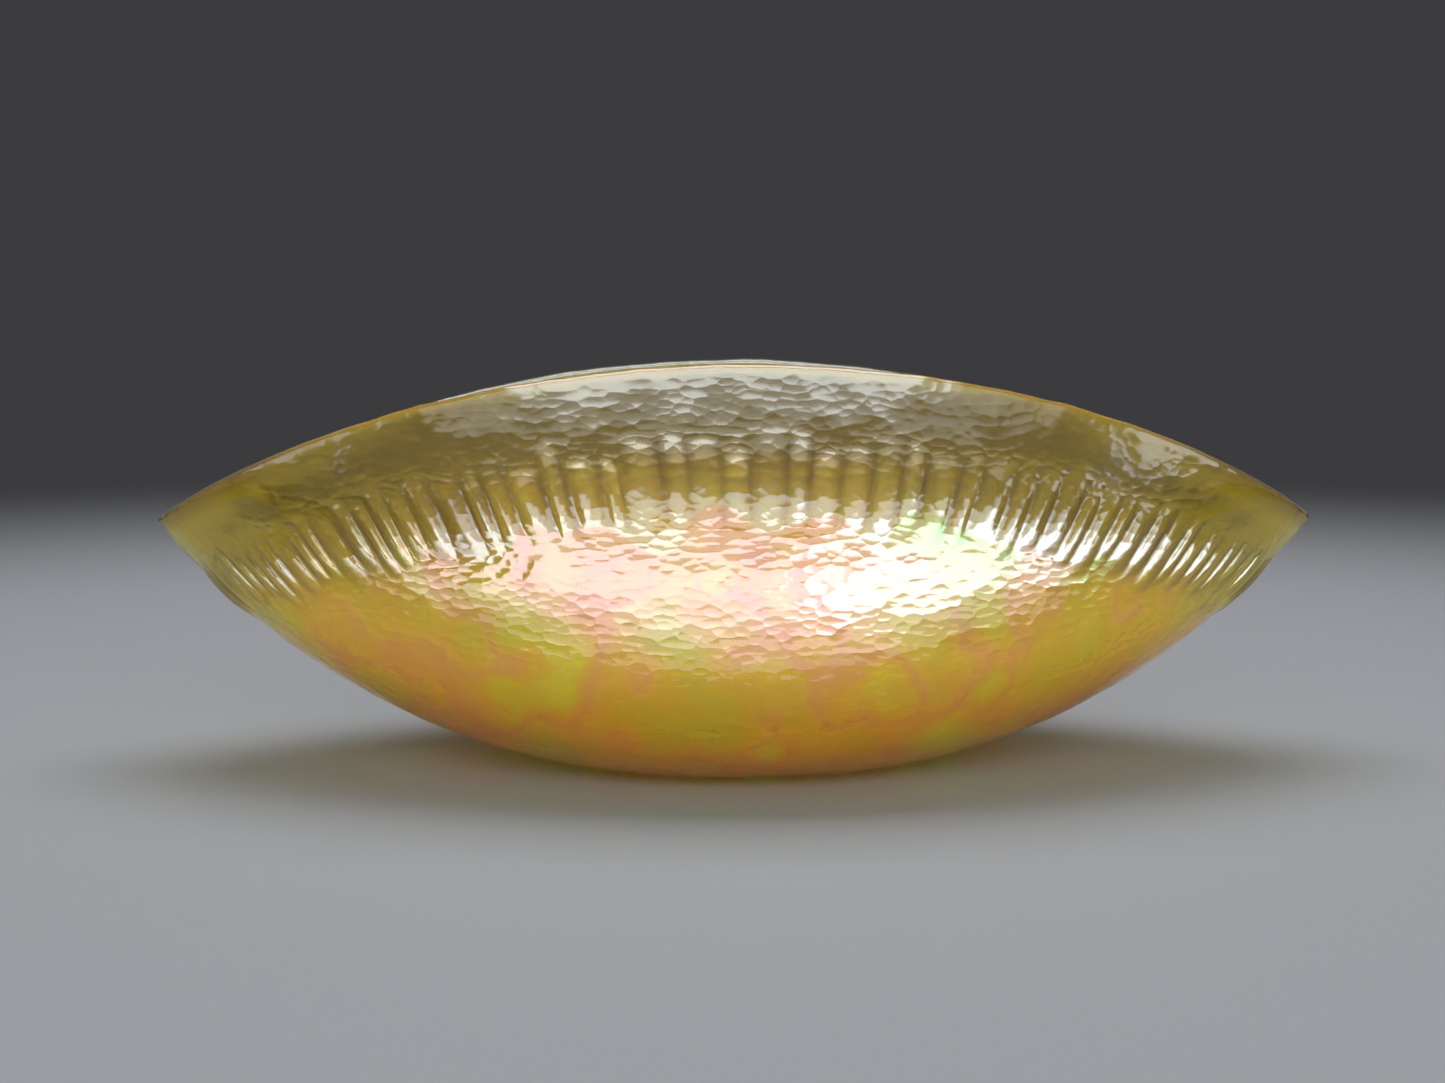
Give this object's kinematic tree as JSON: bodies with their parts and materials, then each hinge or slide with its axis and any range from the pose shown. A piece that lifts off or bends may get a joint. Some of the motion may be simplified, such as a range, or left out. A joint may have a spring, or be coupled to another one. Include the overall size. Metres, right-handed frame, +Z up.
{
  "type": "art glass bowl",
  "caption": "Boat-shaped amber lustre glass bowl with a hammered wall, a ring of short flutes below an arched rim, and a flat oval foot.",
  "frame": {"origin": "centre of the flat oval foot, on the surface that the bowl stands on", "axes": "+Z up out of the mouth, X along the bowl from tip to tip, Y across it"},
  "size_m": [0.4008, 0.1876, 0.1392],
  "materials": {
    "lustre_glass": "glossy"
  },
  "bodies": {
    "root": {"glass_bowl": "lustre_glass"}
  },
  "joints": []
}
